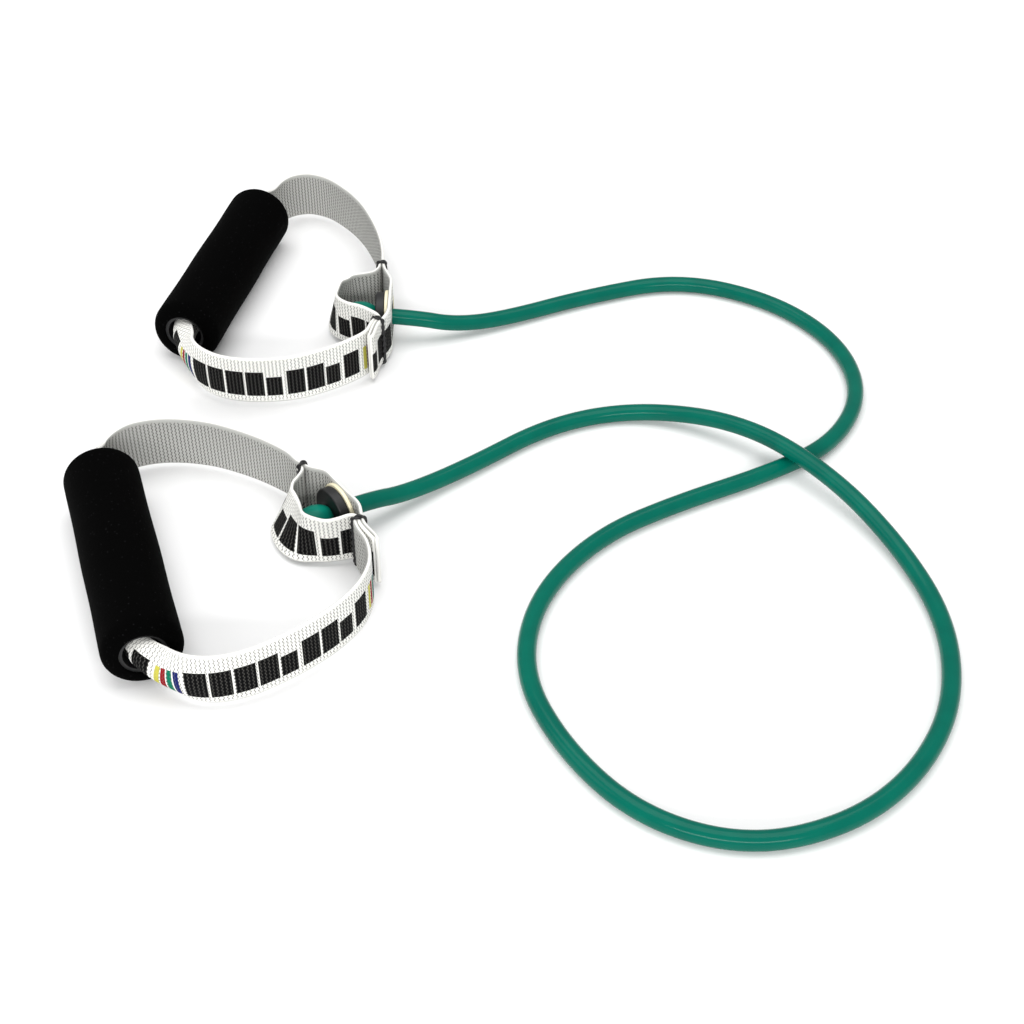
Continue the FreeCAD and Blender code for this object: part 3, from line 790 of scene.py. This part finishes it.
# ---------------------------------------------------------------- sub-assemblies
@dataclass
class TubeEnds:
    """The tube where it passes the eye: its direction, its swollen end, the ball inside and the washers."""

    layout: HandleLayout
    latex: bpy.types.Material
    washer_rubber: bpy.types.Material
    backing_plastic: bpy.types.Material
    ball_plastic: bpy.types.Material
    tube_radius: float = 3.95
    bore_radius: float = 2.375
    seat_depth: float = 7.1
    bulb_radius: float = 6.9
    bulb_length: float = 14.5
    mouth_radius: float = 4.7
    wall: float = 1.2
    centre_height: float = 15.0

    def eye_point(self) -> np.ndarray:
        """The point on the tube's axis at the middle of the webbing."""
        x, y = self.layout.to_band(np.array([self.layout.eye[:2]]))[0]
        return np.array([x, y, self.centre_height])

    def out(self) -> np.ndarray:
        """Unit vector in which the tube leaves the handle."""
        x, y = level(self.layout.place[2] + self.layout.eye[2])
        return np.array([x, y, 0.0])

    def seat(self) -> np.ndarray:
        """The point on the axis where the tube starts to swell."""
        return self.eye_point() - self.out() * self.seat_depth

    def profile(self) -> np.ndarray:
        """Closed profile of the swollen end: tube + (bulb - tube)*sin(pi/2*t)**0.8, then a soft lip."""
        middle = self.bulb_length * 0.5
        t = np.linspace(0, 1, 22)
        swell_h = middle * t
        swell_r = self.tube_radius + (self.bulb_radius - self.tube_radius) * np.sin(math.pi / 2 * t) ** 0.8
        fall_h = middle + (self.bulb_length - self.wall / 2 - middle) * t[1:]
        lip = self.mouth_radius + self.wall
        fall_r = lip + (self.bulb_radius - lip) * np.cos(math.pi / 2 * t[1:]) ** 0.8
        turn = np.linspace(math.pi / 2, -math.pi / 2, 8)[1:-1]
        lip_h = self.bulb_length - self.wall / 2 + self.wall / 2 * np.cos(turn)
        lip_r = self.mouth_radius + self.wall / 2 + self.wall / 2 * np.sin(turn)
        back_h = np.concatenate([fall_h[::-1], swell_h[::-1]])
        back_r = np.concatenate([fall_r[::-1], swell_r[::-1]]) - self.wall
        back_r = np.maximum(back_r, self.bore_radius)
        height = np.concatenate([swell_h, fall_h, lip_h, back_h])
        radius = np.concatenate([swell_r, fall_r, lip_r, back_r])
        return np.stack([radius, height], axis=1)

    def make(self) -> list[bpy.types.Object]:
        """Build the swollen end and dress the ball and the washers.

        Returns:
            The pieces that go with the tube: the swollen end and the ball.
        """
        side = self.layout.side.value
        end = turned_piece(f"{side}_swollen_tube_end", self.profile(), self.seat(), -self.out(), steps=72)
        end.data.materials.append(self.latex)
        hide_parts(f"{side}_tube_end")
        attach(end, "tube")
        dress(f"{side}_ball_plug", self.ball_plastic)
        dress(f"{side}_washer", self.washer_rubber)
        dress(f"{side}_backing_washer", self.backing_plastic)
        LOG.info("%s tube end, ball and washers made", side)
        return [end, bpy.data.objects[f"{side}_ball_plug"]]


def dress(node: str, material: bpy.types.Material) -> None:
    """Give a CAD node a material in place of its plain one.

    Args:
        node: Name of the node's object.
        material: Material that it gets.
    """
    shown = bpy.data.objects[node]
    for slot in shown.material_slots:
        slot.material = material


@dataclass
class Tube:
    """The latex tube, lying in its loose loop, as one smooth curve."""

    near: TubeEnds
    far: TubeEnds
    latex: bpy.types.Material
    diameter: float = 7.9
    length_m: float = 1.2
    first_run: float = 19.0
    droop: float = 1.5
    rest_gap: float = 0.05
    name: str = "latex_tube"
    route: list[Row] = field(default_factory=lambda: list(TUBE_ROUTE))

    def make(self, with_pieces: list[bpy.types.Object]) -> bpy.types.Object:
        """Args:
            with_pieces: The pieces on its two ends; not used.

        Returns:
            The tube's object.
        """
        rest = self.diameter / 2 + self.rest_gap
        near_seat, far_seat = self.near.seat(), self.far.seat()
        sag = np.array([0.0, 0.0, self.droop])
        points = [near_seat, near_seat + self.near.out() * self.first_run - sag]
        points += [np.array([x, y, rest + lift]) for x, y, lift in self.route]
        points += [far_seat + self.far.out() * self.first_run - sag, far_seat]
        line = bpy.data.curves.new(self.name, "CURVE")
        line.dimensions = "3D"
        spline = line.splines.new("NURBS")
        spline.points.add(len(points) - 1)
        corners = np.column_stack([np.array(points) * MM, np.ones(len(points))])
        spline.points.foreach_set("co", corners.ravel())
        spline.order_u = 3
        spline.use_endpoint_u = True
        spline.resolution_u = 16
        spline.use_smooth = True
        line.bevel_depth = self.diameter / 2 * MM
        line.bevel_resolution = 8
        line.use_fill_caps = True
        line.materials.append(self.latex)
        tube = bpy.data.objects.new(self.name, line)
        bpy.context.scene.collection.objects.link(tube)
        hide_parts("resistance_tube")
        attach(tube, "tube")
        exit_point = (self.near.eye_point() + self.near.out() * 1.0) * MM
        LOG.info("tube made")
        return tube


@dataclass
class Grip:
    """The foam sleeve of one handle, on its rigid core tube."""

    layout: HandleLayout
    foam: bpy.types.Material
    core_plastic: bpy.types.Material
    length: float = 119.0
    radius: float = 16.5
    corner: float = 5.0
    bore: float = 9.8

    def profile(self) -> np.ndarray:
        """Closed profile of the sleeve: straight, with quarter-round ends that swell very slightly."""
        half = self.length / 2
        along = np.linspace(-half + self.corner, half - self.corner, 60)
        skin = self.radius - 0.12 + 0.12 * np.cos(along / half * 7.0)
        turn = np.linspace(0, math.pi / 2, 10)[1:]
        end_r = self.radius - self.corner + self.corner * np.cos(turn)
        end_h = half - self.corner + self.corner * np.sin(turn)
        face = np.linspace(end_r[-1], self.bore + 0.02, 4)[1:]
        right = np.column_stack([np.concatenate([end_r, face]), np.concatenate([end_h, np.full(3, half)])])
        bore = np.column_stack([np.full(20, self.bore + 0.02), np.linspace(half, -half, 22)[1:-1]])
        left = np.column_stack([right[::-1, 0], -right[::-1, 1]])
        return np.vstack([np.column_stack([skin, along]), right, bore, left])

    def make(self) -> None:
        """Build the foam sleeve and dress the core inside it."""
        side = self.layout.side.value
        x, y, angle = self.layout.place
        axis = np.append(leftward(level(angle)), 0.0)
        sleeve = turned_piece(f"{side}_foam_sleeve", self.profile(), np.array([x, y, self.radius]), axis)
        sleeve.data.materials.append(self.foam)
        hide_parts(f"{side}_foam_grip")
        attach(sleeve, f"{side}_grip")
        dress(f"{side}_grip_core", self.core_plastic)
        LOG.info("%s grip made", side)


@dataclass
class Strap:
    """The webbing of one handle: its loop, its pocket strip and the two seams that hold them together."""

    layout: HandleLayout
    webbing: bpy.types.Material
    thread: bpy.types.Material

    def make(self) -> None:
        """Build both strips and both seams."""
        side = self.layout.side.value
        body = f"{side}_strap"
        strips = {
            "strap_loop": Strip(
                f"{side}_webbing_loop", self.layout.strap_stations(), self.layout.motif_start
            ),
            "pocket_strip": Strip(
                f"{side}_webbing_pocket", self.layout.pocket_stations(), self.layout.pocket_motif_start,
                motif_backwards=True,
            ),
        }
        for node, strip in strips.items():
            piece = strip.make(self.layout)
            piece.data.materials.append(self.webbing)
            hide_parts(f"{side}_{node}")
            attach(piece, body)
        seams = {
            "first_seam": Seam(f"{side}_first_thread", self.layout.first_seam, (-1, 0)),
            "second_seam": Seam(f"{side}_second_thread", self.layout.second_seam, (-1, 0, 1)),
        }
        for node, seam in seams.items():
            piece = seam.make(self.layout)
            piece.data.materials.append(self.thread)
            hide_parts(f"{side}_{node}")
            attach(piece, body)
        LOG.info("%s webbing and seams made", side)


@dataclass
class Studio:
    """Plain pale floor, soft light and the camera."""

    camera_place: Row = (0.1246, -0.6535, 0.49203)
    camera_tilt: float = 50.0
    lens: float = 60.8
    floor_half: float = 4.0

    def place_camera(self) -> None:
        """Make the scene's camera."""
        data = bpy.data.cameras.new("camera")
        data.lens = self.lens
        data.sensor_width = 36.0
        camera = bpy.data.objects.new("camera", data)
        camera.location = self.camera_place
        camera.rotation_euler = Euler((math.radians(self.camera_tilt), 0.0, 0.0))
        bpy.context.scene.collection.objects.link(camera)
        bpy.context.scene.camera = camera

    def lay_floor(self) -> None:
        """Make the pale floor."""
        half = self.floor_half
        mesh = bpy.data.meshes.new("floor")
        corners = [(-half, -half, 0), (half, -half, 0), (half, half, 0), (-half, half, 0)]
        mesh.from_pydata(corners, [], [(0, 1, 2, 3)])
        material, tree = fresh_material("pale_paper")
        close_material(tree, {"Base Color": linear("F6F6F6"), "Roughness": 0.9, "Specular IOR Level": 0.2})
        mesh.materials.append(material)
        floor = bpy.data.objects.new("floor", mesh)
        bpy.context.scene.collection.objects.link(floor)

    def light(self) -> None:
        """Make a broad soft key, a long low strip in front and a pale surround."""
        for name, place, turn, size, power in (
            ("key", (0.05, 0.15, 1.5), (-5.0, 0.0, 0.0), (1.6, 1.4), 17.0),
            ("front_strip", (0.1, -1.5, 0.75), (66.0, 0.0, 0.0), (1.8, 0.1), 18.0),
            ("side", (-1.3, -0.2, 0.9), (0.0, -58.0, 0.0), (0.8, 0.8), 3.0),
        ):
            data = bpy.data.lights.new(name, "AREA")
            data.shape = "RECTANGLE"
            data.size, data.size_y = size
            data.energy = power
            lamp = bpy.data.objects.new(name, data)
            lamp.location = place
            lamp.rotation_euler = Euler([math.radians(value) for value in turn])
            bpy.context.scene.collection.objects.link(lamp)
        world = bpy.data.worlds.new("surround")
        world.use_nodes = True
        world.node_tree.nodes["Background"].inputs[0].default_value = linear("FFFFFF")
        world.node_tree.nodes["Background"].inputs[1].default_value = 0.55
        bpy.context.scene.world = world
        bpy.context.scene.view_settings.view_transform = "Standard"


def main() -> None:
    """Build the band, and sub-assembly by sub-assembly."""
    logging.basicConfig(level=logging.INFO, format="%(name)s: %(message)s")
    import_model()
    studio = Studio()
    studio.place_camera()
    latex = Latex("dipped_latex", "005649", "006856").make()
    stretched = Latex("stretched_latex", "006B5A", "0C7F6B", roughness=0.3, cloud_mm=9.0).make()
    washer = Moulded("moulded_epdm_rubber", "060607", "0E0F10", 0.5).make()
    backing = Moulded("punched_nylon", "E6DDB8", "EFE8CC", 0.42).make()
    ball = Moulded("moulded_acetal_ball", "C9C8C0", "D6D5CE", 0.35).make()
    core = Moulded("extruded_abs", "080809", "101012", 0.6).make()
    foam, webbing, thread = Foam().make(), Webbing().make(), Thread().make()

    ends = {side: TubeEnds(layout, stretched, washer, backing, ball) for side, layout in LAYOUTS.items()}
    on_tube = [piece for end in ends.values() for piece in end.make()]
    Tube(ends[Side.NEAR], ends[Side.FAR], latex).make(on_tube)
    for layout in LAYOUTS.values():
        Grip(layout, foam, core).make()
        Strap(layout, webbing, thread).make()
    studio.lay_floor()
    studio.light()


if __name__ == "__main__":
    main()
